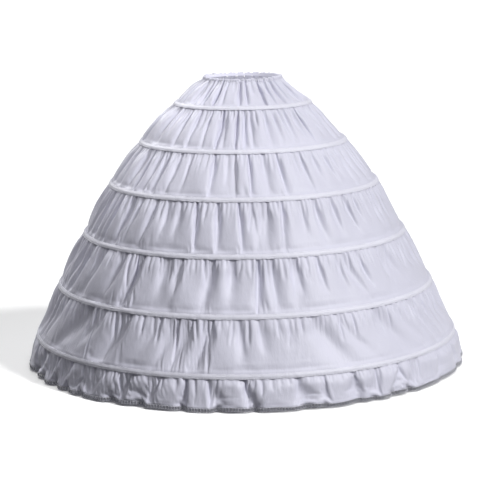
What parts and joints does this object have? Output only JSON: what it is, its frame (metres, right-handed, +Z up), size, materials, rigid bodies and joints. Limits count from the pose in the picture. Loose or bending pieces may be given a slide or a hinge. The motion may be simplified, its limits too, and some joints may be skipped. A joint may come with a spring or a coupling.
{
  "type": "hoop petticoat",
  "caption": "Bell-shaped crinoline underskirt of gathered cloth tiers on an elastic waist, spread by sprung wire hoops in tape casings, with a ruffled flounce and lace at the hem.",
  "frame": {"origin": "on the axis, at mid height of the waistband", "axes": "+Z up along the axis through the waist, -Y to the front, +X to the wearer's left"},
  "size_m": [1.1415, 1.1409, 0.7504],
  "materials": {
    "taffeta": "plain-weave taffeta, soft sheen",
    "casing_tape": "smooth sewn tape",
    "lace": "open looped lace edging",
    "elastic": "ribbed woven elastic",
    "hoop_wire": "white plastic-coated spring wire",
    "joiner": "plain crimped sleeve"
  },
  "bodies": {
    "root": {"waist_casing": "taffeta", "waist_elastic": "elastic", "flounce": "taffeta", "lace_trim": "lace", "tier_1": "taffeta", "tier_2": "taffeta", "tier_3": "taffeta", "tier_4": "taffeta", "tier_5": "taffeta", "tier_6": "taffeta", "hoop_casing_1": "casing_tape", "hoop_casing_2": "casing_tape", "hoop_casing_3": "casing_tape", "hoop_casing_4": "casing_tape", "hoop_casing_5": "casing_tape", "hoop_casing_6": "casing_tape", "hoop_wire_1": "hoop_wire", "hoop_wire_2": "hoop_wire", "hoop_wire_3": "hoop_wire", "hoop_wire_4": "hoop_wire", "hoop_wire_5": "hoop_wire", "hoop_wire_6": "hoop_wire", "hoop_joiner_1": "joiner", "hoop_joiner_2": "joiner", "hoop_joiner_3": "joiner", "hoop_joiner_4": "joiner", "hoop_joiner_5": "joiner", "hoop_joiner_6": "joiner"}
  },
  "joints": []
}
